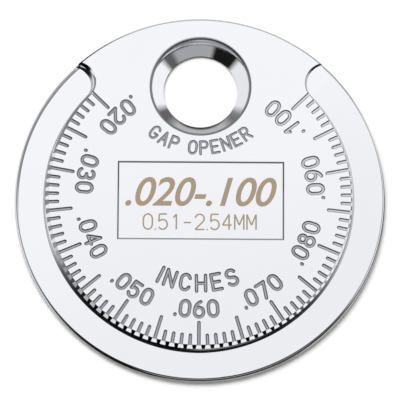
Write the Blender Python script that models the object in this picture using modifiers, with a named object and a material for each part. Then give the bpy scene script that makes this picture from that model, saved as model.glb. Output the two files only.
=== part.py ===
"""Spark plug gap gauge: a one-piece, coin-shaped disc.

A raised hub carries an engraved thickness scale. Around it runs a thinner ring whose two faces climb
like a screw thread, so that the ring grows evenly from the smallest gap to the largest. A countersunk
hole through the hub bends the plug's side electrode open.

The disc lies on its back: Z = 0 is the hub's back face, +Z leaves the front face, and +Y points from
the centre to the hole. Angles run counter-clockwise from +X, seen from the front.
"""
import math

import bmesh
import bpy

INCH = 0.0254
MM = 0.001

# Thickness of the ring, and where it grows: angles run counter-clockwise from +X
GAP_MIN = 0.020 * INCH
GAP_MAX = 0.100 * INCH
RAMP_START = math.radians(135.0)
RAMP_SWEEP = math.radians(270.0)

# Blank
DISC_RADIUS = 19.0 * MM
SHALLOWEST_STEP = 0.33 * MM
RIM_DRAFT = math.radians(7.0)
RIM_ROUND = 0.25 * MM
RIM_FACETS = 144

# Slots over and under the ring, as an end mill with round ends would leave them
RING_WIDTH = 3.51 * MM
SLOT_END_RADIUS = 2.18 * MM
SLOT_END_INSET = math.radians(2.1)
STEP_DRAFT = math.radians(15.0)
STEP_ROUND = 0.25 * MM
STEP_ROUND_SHARE = 0.98
STEP_ROUND_FACETS = 2
SLOT_STATION = math.radians(3.0)
SLOT_END_FACETS = 12

# Gap opener hole
HOLE_TO_RIM = 2.05 * MM
HOLE_WAIST_RADIUS = 3.83 * MM
COUNTERSINK_REACH = 1.52 * MM
COUNTERSINK_HALF_ANGLE = math.radians(30.0)
HOLE_LIP_ROUND = 0.4 * MM
HOLE_LIP_FACETS = 3
HOLE_BACK_CHAMFER = 0.45 * MM
HOLE_FACETS = 64

# Framed recess
RECESS_LENGTH = 17.1 * MM
RECESS_WIDTH = 8.25 * MM
RECESS_DEPTH = 0.15 * MM
RECESS_OFFSET_X = 0.1 * MM
RECESS_OFFSET_Y = -0.5 * MM

# Graduations, in inches on the front and in millimetres on the back
GROOVE_WIDTH = 0.38 * MM
GROOVE_FLOOR_WIDTH = 0.2 * MM
GROOVE_DEPTH = 0.18 * MM
GROOVE_END_FACETS = 4
LONG_MARK_LENGTH = 2.42 * MM
SHORT_MARK_LENGTH = 1.09 * MM
INCH_STEP = 0.001 * INCH
INCH_LONG_EVERY = 5
METRIC_STEP = 0.05 * MM
METRIC_LONG_EVERY = 2

# Cutters run this far past the faces that they cut, and a rounded edge's last facet by this share
CUT_MARGIN = 0.8 * MM
FACET_RUN_ON = 0.5

CHROME_COLOUR = (0.86, 0.87, 0.88, 1.0)
CHROME_ROUGHNESS = 0.08

HUB_THICKNESS = GAP_MAX + 2 * SHALLOWEST_STEP
MID_PLANE = HUB_THICKNESS / 2
HUB_RADIUS = DISC_RADIUS - RING_WIDTH
SLOT_CENTRE_RADIUS = HUB_RADIUS + SLOT_END_RADIUS
HOLE_LIP_RADIUS = HOLE_WAIST_RADIUS + COUNTERSINK_REACH
HOLE_OFFSET = DISC_RADIUS - HOLE_TO_RIM - HOLE_LIP_RADIUS
ANGLE_PER_GAP = RAMP_SWEEP / (GAP_MAX - GAP_MIN)


def clear_scene():
    """Empties the scene of objects."""
    for old in list(bpy.data.objects):
        bpy.data.objects.remove(old)


def new_collection(name):
    """Makes a collection linked to the scene."""
    made = bpy.data.collections.new(name)
    bpy.context.scene.collection.children.link(made)
    return made


def chrome_material():
    """Bright chrome plate over the cast blank."""
    material = bpy.data.materials.new("chrome")
    material.use_nodes = True
    shader = material.node_tree.nodes["Principled BSDF"]
    shader.inputs["Base Color"].default_value = CHROME_COLOUR
    shader.inputs["Metallic"].default_value = 1.0
    shader.inputs["Roughness"].default_value = CHROME_ROUGHNESS
    return material


def mesh_object(name, mesh_data, collection):
    """Wraps a mesh in an object of the given collection."""
    made = bpy.data.objects.new(name, mesh_data)
    collection.objects.link(made)
    return made


def turned(name, profile, facets, collection):
    """Turns a profile of (radius, height) points, listed from the top down, about Z."""
    mesh_data = bpy.data.meshes.new(name)
    edges = [(i, i + 1) for i in range(len(profile) - 1)]
    mesh_data.from_pydata([(radius, 0.0, height) for radius, height in profile], edges, [])
    made = mesh_object(name, mesh_data, collection)
    screw = made.modifiers.new("turn", "SCREW")
    screw.angle = 2 * math.pi
    screw.steps = facets
    screw.render_steps = facets
    screw.use_merge_vertices = True
    screw.merge_threshold = 0.00001
    return made


def as_cutter(cutter):
    """Marks an object as a cutter, which shows as wire and is no part of the gauge."""
    cutter.hide_render = True
    cutter.display_type = "WIRE"
    return cutter


def cut(target, cutter, name):
    """Cuts one closed shape out of the target."""
    boolean = target.modifiers.new(name, "BOOLEAN")
    boolean.operation = "DIFFERENCE"
    boolean.solver = "EXACT"
    boolean.object = cutter


def arc(centre_x, centre_z, radius, start, end, facets):
    """Points of an arc in a section; angle 0 points up and grows away from the axis."""
    points = []
    for i in range(facets + 1):
        angle = start + (end - start) * i / facets
        points.append((centre_x + radius * math.sin(angle), centre_z + radius * math.cos(angle)))
    return points


def run_on(start, end):
    """Carries a facet on past its end, so that a cutter crosses the face that it only meets there."""
    return tuple(b + (b - a) * FACET_RUN_ON for a, b in zip(start, end))


def blank_profile():
    """Half section of the blank: flat faces, rounded rim and draft both ways from the mid-plane."""
    face_radius = DISC_RADIUS - MID_PLANE * math.tan(RIM_DRAFT)
    turn = math.pi / 2 - RIM_DRAFT
    centre = face_radius - RIM_ROUND * (1 - math.sin(RIM_DRAFT)) / math.cos(RIM_DRAFT)
    upper = arc(centre, HUB_THICKNESS - RIM_ROUND, RIM_ROUND, 0.0, turn, STEP_ROUND_FACETS)
    lower = [(radius, HUB_THICKNESS - height) for radius, height in reversed(upper)]
    return [(0.0, HUB_THICKNESS)] + upper + [(DISC_RADIUS, MID_PLANE)] + lower + [(0.0, 0.0)]


def gap_at(angle):
    """Thickness of the ring at an angle counted on from RAMP_START."""
    return min(max(GAP_MIN + angle / ANGLE_PER_GAP, GAP_MIN), GAP_MAX)


def step_section(depth):
    """Section of the step from the ring up to the hub, as (distance from slot centre, depth) points.

    It is a fillet at the foot, a drafted wall and a rounded top edge. The round is limited by the wall.
    """
    turn = math.pi / 2 - STEP_DRAFT
    radius = min(STEP_ROUND, STEP_ROUND_SHARE * depth / (2 * (1 - math.cos(turn))))
    wall_height = depth - 2 * radius * (1 - math.cos(turn))
    wall_reach = 2 * radius * math.sin(turn) + wall_height * math.tan(STEP_DRAFT)
    foot_reach = SLOT_END_RADIUS - wall_reach
    points = []
    for i in range(STEP_ROUND_FACETS + 1):
        angle = turn * i / STEP_ROUND_FACETS
        points.append((foot_reach + radius * math.sin(angle), depth - radius * (1 - math.cos(angle))))
    for i in range(STEP_ROUND_FACETS + 1):
        angle = turn * (1 - i / STEP_ROUND_FACETS)
        points.append((SLOT_END_RADIUS - radius * math.sin(angle), radius * (1 - math.cos(angle))))
    points[-1] = run_on(points[-2], points[-1])
    return points


def slot_stations():
    """Stations around the slot: angle of the slot's centre and the direction its section faces.

    They go round the hub side, the rounded end at GAP_MAX, the outer side and the rounded end at
    GAP_MIN. A direction of pi faces the hub and 0 faces outward.
    """
    first = SLOT_END_INSET
    last = RAMP_SWEEP - SLOT_END_INSET
    count = round((last - first) / SLOT_STATION)
    along = [first + (last - first) * i / count for i in range(count + 1)]
    turns = [math.pi * i / SLOT_END_FACETS for i in range(1, SLOT_END_FACETS)]
    stations = [(angle, math.pi) for angle in along]
    stations += [(last, math.pi - turn) for turn in turns]
    stations += [(angle, 0.0) for angle in reversed(along)]
    stations += [(first, -turn) for turn in turns]
    return stations


def slot_point(angle, facing, reach):
    """Place in the disc's plane of a point at some reach from the slot's centre."""
    centre = RAMP_START + angle
    x = SLOT_CENTRE_RADIUS * math.cos(centre) + reach * math.cos(centre + facing)
    y = SLOT_CENTRE_RADIUS * math.sin(centre) + reach * math.sin(centre + facing)
    return x, y


def slot_cutter(name, front, collection):
    """The space over one face of the ring, lofted along the ramp with an end-mill's round ends."""
    side = 1 if front else -1
    mesh = bmesh.new()
    floor_centres = {}
    top_centres = {}
    rows = []
    top = MID_PLANE + CUT_MARGIN
    for angle, facing in slot_stations():
        half_gap = gap_at(angle) / 2
        if angle not in floor_centres:
            x, y = slot_point(angle, facing, 0.0)
            floor_centres[angle] = mesh.verts.new((x, y, MID_PLANE + side * half_gap))
            top_centres[angle] = mesh.verts.new((x, y, MID_PLANE + side * top))
        row = [floor_centres[angle]]
        for reach, depth in step_section(MID_PLANE - half_gap):
            x, y = slot_point(angle, facing, reach)
            row.append(mesh.verts.new((x, y, MID_PLANE + side * (MID_PLANE - depth))))
        row.append(mesh.verts.new((x, y, MID_PLANE + side * top)))
        row.append(top_centres[angle])
        rows.append(row)
    for row, next_row in zip(rows, rows[1:] + rows[:1]):
        for i in range(len(row) - 1):
            corners = [row[i], row[i + 1], next_row[i + 1], next_row[i]]
            mesh.faces.new(dict.fromkeys(corners))
    bmesh.ops.triangulate(mesh, faces=mesh.faces)
    bmesh.ops.recalc_face_normals(mesh, faces=mesh.faces)
    mesh_data = bpy.data.meshes.new(name)
    mesh.to_mesh(mesh_data)
    mesh.free()
    return as_cutter(mesh_object(name, mesh_data, collection))


def hole_cutter(collection):
    """The gap opener hole: rounded lip, countersink, short land and a chamfer at the back."""
    turn = math.pi / 2 - COUNTERSINK_HALF_ANGLE
    lip = []
    for i in range(HOLE_LIP_FACETS + 1):
        angle = turn * i / HOLE_LIP_FACETS
        radius = HOLE_LIP_RADIUS - HOLE_LIP_ROUND * math.sin(angle)
        lip.append((radius, HUB_THICKNESS - HOLE_LIP_ROUND * (1 - math.cos(angle))))
    lip[0] = run_on(lip[1], lip[0])
    mouth_radius = lip[0][0]
    cone_top_radius, cone_top = lip[-1]
    waist_top = cone_top - (cone_top_radius - HOLE_WAIST_RADIUS) / math.tan(COUNTERSINK_HALF_ANGLE)
    land_end = (HOLE_WAIST_RADIUS, HOLE_BACK_CHAMFER)
    back_radius, back_height = run_on(land_end, (HOLE_WAIST_RADIUS + HOLE_BACK_CHAMFER, 0.0))
    profile = [(0.0, HUB_THICKNESS + CUT_MARGIN), (mouth_radius, HUB_THICKNESS + CUT_MARGIN)]
    profile += lip
    profile += [(HOLE_WAIST_RADIUS, waist_top), land_end, (back_radius, back_height)]
    profile += [(back_radius, -CUT_MARGIN), (0.0, -CUT_MARGIN)]
    cutter = turned("hole_cutter", profile, HOLE_FACETS, collection)
    cutter.location = (0.0, HOLE_OFFSET, 0.0)
    return as_cutter(cutter)


def recess_cutter(collection):
    """The shallow rectangle in the middle of the front face."""
    mesh = bmesh.new()
    bmesh.ops.create_cube(mesh, size=1.0)
    height = RECESS_DEPTH + CUT_MARGIN
    bmesh.ops.scale(mesh, vec=(RECESS_LENGTH, RECESS_WIDTH, height), verts=mesh.verts)
    mesh_data = bpy.data.meshes.new("recess_cutter")
    mesh.to_mesh(mesh_data)
    mesh.free()
    cutter = mesh_object("recess_cutter", mesh_data, collection)
    cutter.location = (RECESS_OFFSET_X, RECESS_OFFSET_Y, HUB_THICKNESS - RECESS_DEPTH + height / 2)
    return as_cutter(cutter)


def add_groove(mesh, angle, length, front):
    """One graduation: a groove with a round inner end that runs out through the hub's edge.

    Its outline is drawn twice, narrow on the floor and wide above the face, and joined.
    """
    side = 1 if front else -1
    slope = (GROOVE_WIDTH - GROOVE_FLOOR_WIDTH) / 2 / GROOVE_DEPTH
    lift = GROOVE_DEPTH / 2
    face = MID_PLANE + side * MID_PLANE
    end_centre = HUB_RADIUS - length + GROOVE_WIDTH / 2
    rings = []
    for half_width, height in ((GROOVE_FLOOR_WIDTH / 2, -GROOVE_DEPTH),
                               (GROOVE_WIDTH / 2 + lift * slope, lift)):
        outline = [(SLOT_CENTRE_RADIUS, half_width)]
        for i in range(GROOVE_END_FACETS + 1):
            turn = math.pi / 2 + math.pi * i / GROOVE_END_FACETS
            outline.append((end_centre + half_width * math.cos(turn), half_width * math.sin(turn)))
        outline.append((SLOT_CENTRE_RADIUS, -half_width))
        ring = []
        for along, across in outline:
            x = along * math.cos(angle) - across * math.sin(angle)
            y = along * math.sin(angle) + across * math.cos(angle)
            ring.append(mesh.verts.new((x, y, face + side * height)))
        rings.append(ring)
    floor, mouth = rings
    faces = [mesh.faces.new(floor), mesh.faces.new(mouth)]
    for i in range(len(floor)):
        following = (i + 1) % len(floor)
        faces.append(mesh.faces.new([floor[i], floor[following], mouth[following], mouth[i]]))
    bmesh.ops.recalc_face_normals(mesh, faces=faces)


def scale_cutter(name, step, long_every, front, collection):
    """All graduations of one face, at the multiples of a step. They stand apart, so one mesh holds them."""
    mesh = bmesh.new()
    first = math.ceil(round(GAP_MIN / step, 3))
    last = math.floor(round(GAP_MAX / step, 3))
    for number in range(first, last + 1):
        angle = RAMP_START + (number * step - GAP_MIN) * ANGLE_PER_GAP
        length = SHORT_MARK_LENGTH if number % long_every else LONG_MARK_LENGTH
        add_groove(mesh, angle, length, front)
    mesh_data = bpy.data.meshes.new(name)
    mesh.to_mesh(mesh_data)
    mesh.free()
    return as_cutter(mesh_object(name, mesh_data, collection))


def build_gauge():
    """The whole gauge: a turned blank, cut like the finished tool."""
    parts = new_collection("spark_plug_gap_gauge")
    cutters = new_collection("cutters")
    gauge = turned("gauge_disc", blank_profile(), RIM_FACETS, parts)
    cut(gauge, slot_cutter("front_slot_cutter", True, cutters), "front_ramp")
    cut(gauge, slot_cutter("back_slot_cutter", False, cutters), "back_ramp")
    cut(gauge, hole_cutter(cutters), "gap_opener")
    cut(gauge, recess_cutter(cutters), "recess")
    inch_marks = scale_cutter("inch_scale_cutter", INCH_STEP, INCH_LONG_EVERY, True, cutters)
    metric_marks = scale_cutter("metric_scale_cutter", METRIC_STEP, METRIC_LONG_EVERY, False, cutters)
    cut(gauge, inch_marks, "inch_scale")
    cut(gauge, metric_marks, "metric_scale")
    gauge.data.materials.append(chrome_material())


clear_scene()
build_gauge()
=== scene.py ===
"""Spark plug gap gauge: the chromed disc with its cut scales, words and range marks, on a pale floor.

The disc is modelled as the real one is made: a turned blank, two slots milled over and under the ring
with a floor that climbs like a screw thread, the bored hole, the recess, and marks cut with a round-nosed
engraving cutter. It lies on its back with +Z leaving its front face and +Y towards the hole.
"""

import math

import bmesh
import bpy
from mathutils import Matrix, Vector


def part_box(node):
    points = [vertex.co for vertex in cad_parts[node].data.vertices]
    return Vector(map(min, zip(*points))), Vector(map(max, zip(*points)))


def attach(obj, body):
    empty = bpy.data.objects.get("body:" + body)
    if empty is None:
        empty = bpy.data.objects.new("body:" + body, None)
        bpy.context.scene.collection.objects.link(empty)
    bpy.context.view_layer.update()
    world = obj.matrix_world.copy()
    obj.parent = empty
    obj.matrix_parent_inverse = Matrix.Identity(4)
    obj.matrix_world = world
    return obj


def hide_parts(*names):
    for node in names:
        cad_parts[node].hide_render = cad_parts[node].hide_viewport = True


bl_info = {
    "name": "Spark plug gap gauge",
    "version": (1, 0, 0),
    "blender": (4, 5, 0),
    "location": "3D View > Sidebar > Gap gauge",
    "description": "Models a coin-shaped spark plug gap gauge, with its studio stage",
    "category": "Object",
}

MM = 0.001
INCH = 0.0254

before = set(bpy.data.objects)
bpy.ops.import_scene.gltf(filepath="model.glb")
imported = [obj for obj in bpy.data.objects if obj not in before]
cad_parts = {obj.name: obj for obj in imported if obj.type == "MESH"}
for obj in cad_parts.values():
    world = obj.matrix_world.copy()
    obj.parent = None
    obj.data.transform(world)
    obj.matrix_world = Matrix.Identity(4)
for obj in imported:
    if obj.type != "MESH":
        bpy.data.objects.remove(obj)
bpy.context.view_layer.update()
LOWEST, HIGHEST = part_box("gauge_disc")

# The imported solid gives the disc's reach and thickness; the rest repeats its named sizes
DISC_RADIUS = (HIGHEST[0] - LOWEST[0]) / 2
THICKNESS = HIGHEST[2] - LOWEST[2]
MID_PLANE = THICKNESS / 2
GAP_MIN = 0.020 * INCH
GAP_MAX = 0.100 * INCH
RAMP_START = math.radians(135.0)
RAMP_SWEEP = math.radians(270.0)
ANGLE_PER_GAP = RAMP_SWEEP / (GAP_MAX - GAP_MIN)
SCALE_START = math.radians(135.8)
SCALE_SWEEP = math.radians(268.3)
RIM_DRAFT = math.radians(7.0)
RING_WIDTH = 3.51 * MM
SLOT_END_RADIUS = 2.18 * MM
SLOT_END_INSET = math.radians(2.1)
STEP_DRAFT = math.radians(5.0)
LEDGE_DROP = 0.086 * MM

# How much the step narrows towards the disc's top: on the right all of it, so that it gets steeper, and on
# the left what lies beyond its chamfer, by the least and the most; and its width at a slot end's sides
RIGHT_NARROWING = 0.28
LEFT_NARROWING = (0.35, 0.6)
SIDE_WIDTH = 0.65

# The notches start a little inside of the hub and end on the ledge, and their floor falls and widens outward
NOTCH_LEAD = 0.02 * MM
NOTCH_ONTO_LEDGE = 0.4
NOTCH_UNDER_CHAMFER = 0.3
NOTCH_START_WIDTH = 0.68
NOTCH_START_DEPTH = 1.3

HUB_RADIUS = DISC_RADIUS - RING_WIDTH
SLOT_CENTRE_RADIUS = HUB_RADIUS + SLOT_END_RADIUS
HOLE_WAIST_RADIUS = 3.83 * MM
COUNTERSINK_REACH = 1.52 * MM
COUNTERSINK_HALF_ANGLE = math.radians(30.0)
HOLE_LIP_ROUND = 0.4 * MM
HOLE_BACK_CHAMFER = 0.45 * MM
HOLE_TO_RIM = 2.02 * MM
HOLE_LIP_RADIUS = HOLE_WAIST_RADIUS + COUNTERSINK_REACH
HOLE_OFFSET = DISC_RADIUS - HOLE_TO_RIM - HOLE_LIP_RADIUS
RECESS_LENGTH = 17.1 * MM
RECESS_WIDTH = 8.25 * MM
RECESS_CENTRE = (0.1 * MM, -0.45 * MM)

# Where the chamfer's foot stands in a slot's section, counted from its end
CHAMFER_FOOT = -4

# Fineness of the modelling
RIM_SIDES = 360
HOLE_SIDES = 144
ROUND_STEPS = 6
RING_EDGE_STEPS = 4
RAMP_STEPS = 266
SLOT_END_STEPS = 36
CUT_MARGIN = 0.8 * MM
RUN_ON = 0.5
WELD = 0.1 * MM / 1000
SHARP_ANGLE = math.radians(32.0)

# How far up or down the normals of some faces point: level ones, the ring's, all flat ones, the rim's and the
# notches' floors
LEVEL = 0.999999
RING_FACE = 0.9995
FLAT = 0.999
RIM_FACE = 0.2
NOTCH_FLOOR = (0.9, 0.97)

# How near the rim the ring's edge lies, how deep its level ends at least do, and how far from the hub's edge
# the notches' floors reach
NEAR_RIM = 0.3 * MM
LEVEL_END_DEPTH = 0.2 * MM
NOTCH_SPAN = (-0.05 * MM, 0.5 * MM)


def length(name, description, millimetres):
    """A length that the panel shows, given in millimetres."""
    return bpy.props.FloatProperty(
        name=name, description=description, default=millimetres * MM, unit="LENGTH")


def tint(name, description, rgb):
    """A colour that the panel shows."""
    return bpy.props.FloatVectorProperty(
        name=name, description=description, default=rgb, size=3, min=0.0, max=1.0, subtype="COLOR")


class GaugeSizes(bpy.types.PropertyGroup):
    """Sizes of the details that finish the disc."""

    rim_round: length("Rim round", "Radius of the rim's edges where the disc has its full thickness", 0.25)
    ring_round: length("Ring edge round", "Radius of the measuring ring's outer edges", 0.22)
    step_chamfer: length("Step chamfer", "Width and drop of the chamfer along the hub's edge", 0.35)
    step_ledge: length("Step ledge", "Width of the narrow ledge under the chamfer", 0.15)
    step_fillet: length("Step fillet", "Radius at the foot of the step from the ring to the hub", 0.40)
    recess_depth: length("Recess depth", "Depth of the framed recess", 0.10)
    recess_slope: length("Recess wall run", "How far the recess's walls lean outward", 0.175)
    graduation_width: length("Graduation width", "Width of a graduation and of a numeral's stroke", 0.38)
    notch_width: length("Notch width", "Width of a graduation's flared end at the chamfer's foot", 0.63)
    graduation_depth: length("Graduation depth", "Depth of a graduation and of a numeral's stroke", 0.17)
    long_graduation: length("Long graduation", "Length of the long graduations", 2.42)
    short_graduation: length("Short graduation", "Length of the short graduations", 1.09)
    numeral_height: length("Numeral height", "Height of a numeral between its strokes' middles", 1.6)
    word_height: length("Small word height", "Height of the hole's words between their strokes' middles", 1.3)
    word_stroke: length("Small word stroke", "Stroke width of the hole's words", 0.28)


class GaugeFinishes(bpy.types.PropertyGroup):
    """Colours and polish."""

    chrome: tint("Chrome", "Colour of the chrome plate", (0.90, 0.908, 0.945))
    polish: bpy.props.FloatProperty(
        name="Chrome roughness", description="Roughness of the polished faces",
        min=0.0, max=1.0, default=0.05, subtype="FACTOR")
    satin: bpy.props.FloatProperty(
        name="Satin roughness", description="Roughness of the cut marks and the hole's lip",
        min=0.0, max=1.0, default=0.28, subtype="FACTOR")
    range_mark: tint("Range marks", "Colour of the tan marks in the recess", (0.372, 0.293, 0.200))
    floor: tint("Floor", "Colour of the pale floor", (0.90, 0.90, 0.90))


def sizes():
    """The sizes that the panel shows."""
    return bpy.context.scene.gauge_sizes


def finishes():
    """The colours and polish that the panel shows."""
    return bpy.context.scene.gauge_finishes


# Modelling by hand

def edit_mode():
    """Opens the active object for editing, with all of it selected."""
    bpy.ops.object.mode_set(mode="EDIT")
    bpy.ops.mesh.select_all(action="SELECT")


def object_mode():
    """Leaves edit mode."""
    bpy.ops.object.mode_set(mode="OBJECT")


def deselect_all():
    """Goes to object mode with nothing selected."""
    if bpy.context.mode != "OBJECT":
        object_mode()
    bpy.ops.object.select_all(action="DESELECT")


def choose(*chosen):
    """Selects objects alone, the last one active."""
    deselect_all()
    for obj in chosen:
        obj.select_set(True)
    bpy.context.view_layer.objects.active = chosen[-1]


def pick(kind, test):
    """In edit mode, selects the vertices, edges or faces that pass a test."""
    bpy.ops.mesh.select_mode(type=kind)
    bpy.ops.mesh.select_all(action="DESELECT")
    mesh = bmesh.from_edit_mesh(bpy.context.object.data)
    for element in {"VERT": mesh.verts, "EDGE": mesh.edges, "FACE": mesh.faces}[kind]:
        if test(element):
            element.select_set(True)
    mesh.select_flush(True)
    bmesh.update_edit_mesh(bpy.context.object.data)


def scale_picked(x, y, z, centre=(0.0, 0.0, 0.0)):
    """Scales what is selected in edit mode about a point."""
    bpy.ops.transform.resize(value=(x, y, z), center_override=centre)


def close_up():
    """Welds what lies together in edit mode, points the faces outward and returns to object mode."""
    bpy.ops.mesh.select_all(action="SELECT")
    bpy.ops.mesh.remove_doubles(threshold=WELD)
    bpy.ops.mesh.normals_make_consistent(inside=False)
    object_mode()


def trace(name, points):
    """Draws an open line through points, vertex by vertex, and stays in edit mode with all of it selected."""
    deselect_all()
    bpy.ops.mesh.primitive_plane_add(size=MM)
    line = bpy.context.object
    line.name = name
    line.data.name = name
    edit_mode()
    bpy.ops.mesh.select_mode(type="VERT")
    bpy.ops.mesh.merge(type="CENTER")
    bpy.ops.transform.translate(value=points[0])
    for start, end in zip(points, points[1:]):
        step = Vector(end) - Vector(start)
        bpy.ops.mesh.extrude_vertices_move(TRANSFORM_OT_translate={"value": step})
    bpy.ops.mesh.select_all(action="SELECT")
    return line


def spin(degrees, steps, centre):
    """Spins the selected line counter-clockwise about an upright axis; spin itself turns clockwise."""
    bpy.ops.mesh.spin(
        steps=steps, angle=-math.radians(degrees), center=centre, axis=(0.0, 0.0, 1.0),
        use_auto_merge=False)


def cut(body, cutter):
    """Cuts a closed shape out of the body and throws the cutter away."""
    choose(body)
    boolean = body.modifiers.new("cut", "BOOLEAN")
    boolean.operation = "DIFFERENCE"
    boolean.solver = "EXACT"
    boolean.object = cutter
    bpy.ops.object.modifier_apply(modifier=boolean.name)
    bpy.data.objects.remove(cutter)


def arc(centre_x, centre_z, radius, start, end, steps):
    """Points of an arc in a section; angle 0 points up and grows away from the axis."""
    angles = [start + (end - start) * i / steps for i in range(steps + 1)]
    return [(centre_x + radius * math.sin(angle), centre_z + radius * math.cos(angle)) for angle in angles]


def run_on(start, end):
    """Carries a facet on past its end, so that a cutter crosses the face that it only meets there."""
    return tuple(b + (b - a) * RUN_ON for a, b in zip(start, end))


def gap_at(angle):
    """Thickness of the ring at an angle counted on from RAMP_START."""
    return min(max(GAP_MIN + angle / ANGLE_PER_GAP, GAP_MIN), GAP_MAX)


def along_ramp(place):
    """How far round the ramp a place lies, from RAMP_START; in the slot's ends it stays at their middles."""
    middle = RAMP_SWEEP / 2
    turned = (math.atan2(place.y, place.x) - RAMP_START - middle + math.pi) % math.tau - math.pi + middle
    return min(max(turned, SLOT_END_INSET), RAMP_SWEEP - SLOT_END_INSET)


def blank():
    """The blank: a cylinder, cut round its middle, drafted both ways and rounded at both edges."""
    deselect_all()
    bpy.ops.mesh.primitive_cylinder_add(
        vertices=RIM_SIDES, radius=DISC_RADIUS, depth=THICKNESS, location=(0.0, 0.0, MID_PLANE))
    body = bpy.context.object
    body.name = "plated_disc"
    body.data.name = "plated_disc"
    bpy.ops.object.transform_apply(location=True)
    edit_mode()
    bpy.ops.mesh.bisect(plane_co=(0.0, 0.0, MID_PLANE), plane_no=(0.0, 0.0, 1.0))
    pick("VERT", lambda vertex: abs(vertex.co.z - MID_PLANE) > MID_PLANE / 2)
    narrowing = 1.0 - MID_PLANE * math.tan(RIM_DRAFT) / DISC_RADIUS
    scale_picked(narrowing, narrowing, 1.0)
    pick("EDGE", lambda edge: all(abs(v.co.z - MID_PLANE) > MID_PLANE / 2 for v in edge.verts)
         and edge.calc_face_angle(0.0) > 1.0)
    turn = math.pi / 2 - RIM_DRAFT
    bpy.ops.mesh.bevel(offset=sizes().rim_round * math.tan(turn / 2), segments=ROUND_STEPS)
    object_mode()
    return body


def step_share(depth):
    """How much of the step's full details fits into a slot of a depth."""
    s = sizes()
    return min(1.0, depth / (s.step_chamfer + LEDGE_DROP + s.step_fillet + WELD))


def step_section(depth):
    """Half section of a slot out from its middle, as (reach, depth) points.

    It is the floor, a fillet at the step's foot, the drafted wall, a narrow ledge and the chamfer along the
    hub's edge. They shrink together where the slot is too shallow for them.
    """
    s = sizes()
    share = step_share(depth)
    full = (s.step_chamfer, s.step_ledge, LEDGE_DROP, s.step_fillet)
    chamfer, ledge, drop, fillet = (share * width for width in full)
    turn = math.pi / 2 - STEP_DRAFT
    wall_top = (SLOT_END_RADIUS - chamfer - ledge, chamfer + drop)
    wall_foot = depth - fillet * (1 - math.cos(turn))
    foot_reach = wall_top[0] - (wall_foot - wall_top[1]) * math.tan(STEP_DRAFT)
    centre = (foot_reach - fillet * math.sin(turn), depth - fillet)
    foot = arc(*centre, fillet, 0.0, turn, ROUND_STEPS)
    ledge_top = (SLOT_END_RADIUS - chamfer, chamfer)
    return foot + [wall_top, ledge_top, run_on(ledge_top, (SLOT_END_RADIUS, 0.0))]


def slot_section(depth):
    """Closed half section of the space over the ring, at one depth."""
    section = [(0.0, depth)] + step_section(depth)
    return section + [(section[-1][0], -CUT_MARGIN), (0.0, -CUT_MARGIN)]


def narrowed(run, chamfer, away, outward):
    """How far in from the slot's edge a point of the step lies, from how far it does in the full section.

    The chamfer's own share of that is given. The two directions are from the slot's middle line to the point
    and from the disc's middle outward.
    """
    least, most = LEFT_NARROWING
    inward = max(0.0, -away.dot(outward))
    steep = run * (1.0 - inward * RIGHT_NARROWING * (1.0 + outward.y))
    even = chamfer + (run - chamfer) * (1.0 - inward * max(least, most * min(1.0, 1.0 + outward.y)))
    # The left ends at the disc's middle line and a little above its middle
    left = min(max(-2.0 * outward.x, 0.0), 1.0) * min(max((0.45 - outward.y) / 0.25, 0.0), 1.0)
    return (steep + (even - steep) * left) * (SIDE_WIDTH - (1.0 - SIDE_WIDTH) * away.dot(outward))


def slot_cutter():
    """The space over the ring: one section, spun along the ramp and back with a half turn at each end.

    It is spun at its greatest depth. Then each point moves to its place in the section of its own angle, so
    that the gap under it grows evenly.
    """
    deepest = MID_PLANE - GAP_MIN / 2
    section = slot_section(deepest)
    cutter = trace("slot_cutter", [(SLOT_CENTRE_RADIUS + x, 0.0, THICKNESS - z) for x, z in section])
    span = RAMP_SWEEP - 2 * SLOT_END_INSET
    far_end = (SLOT_CENTRE_RADIUS * math.cos(span), SLOT_CENTRE_RADIUS * math.sin(span), 0.0)
    spin(math.degrees(span), RAMP_STEPS, (0.0, 0.0, 0.0))
    spin(180.0, SLOT_END_STEPS, far_end)
    spin(-math.degrees(span), RAMP_STEPS, (0.0, 0.0, 0.0))
    spin(180.0, SLOT_END_STEPS, (SLOT_CENTRE_RADIUS, 0.0, 0.0))
    bpy.ops.mesh.select_all(action="SELECT")
    bpy.ops.mesh.remove_doubles(threshold=WELD)
    bpy.ops.transform.rotate(
        value=-(RAMP_START + SLOT_END_INSET), orient_axis="Z", center_override=(0.0, 0.0, 0.0))
    mesh = bmesh.from_edit_mesh(cutter.data)
    for vertex in mesh.verts:
        along = along_ramp(vertex.co)
        outward = Vector((math.cos(RAMP_START + along), math.sin(RAMP_START + along), 0.0))
        centre = outward * SLOT_CENTRE_RADIUS
        reach = Vector((vertex.co.x, vertex.co.y, 0.0)) - centre
        here = slot_section(MID_PLANE - gap_at(along) / 2)
        was = (reach.length, THICKNESS - vertex.co.z)
        point = min(range(len(section)), key=lambda i: math.dist(section[i], was))
        place = centre.copy()
        if reach.length > WELD:
            away = reach.normalized()
            run = SLOT_END_RADIUS - here[point][0]
            chamfer = min(run, SLOT_END_RADIUS - here[CHAMFER_FOOT][0])
            place += away * (SLOT_END_RADIUS - narrowed(run, chamfer, away, outward))
        place.z = THICKNESS - here[point][1]
        vertex.co = place
    close_up()
    return cutter


def box_cutter(name, spans, middle):
    """A box with its spans about a point, in edit mode."""
    deselect_all()
    bpy.ops.mesh.primitive_cube_add(size=1.0, location=middle)
    box = bpy.context.object
    box.name = name
    box.scale = spans
    bpy.ops.object.transform_apply(location=True, scale=True)
    edit_mode()
    return box


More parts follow.
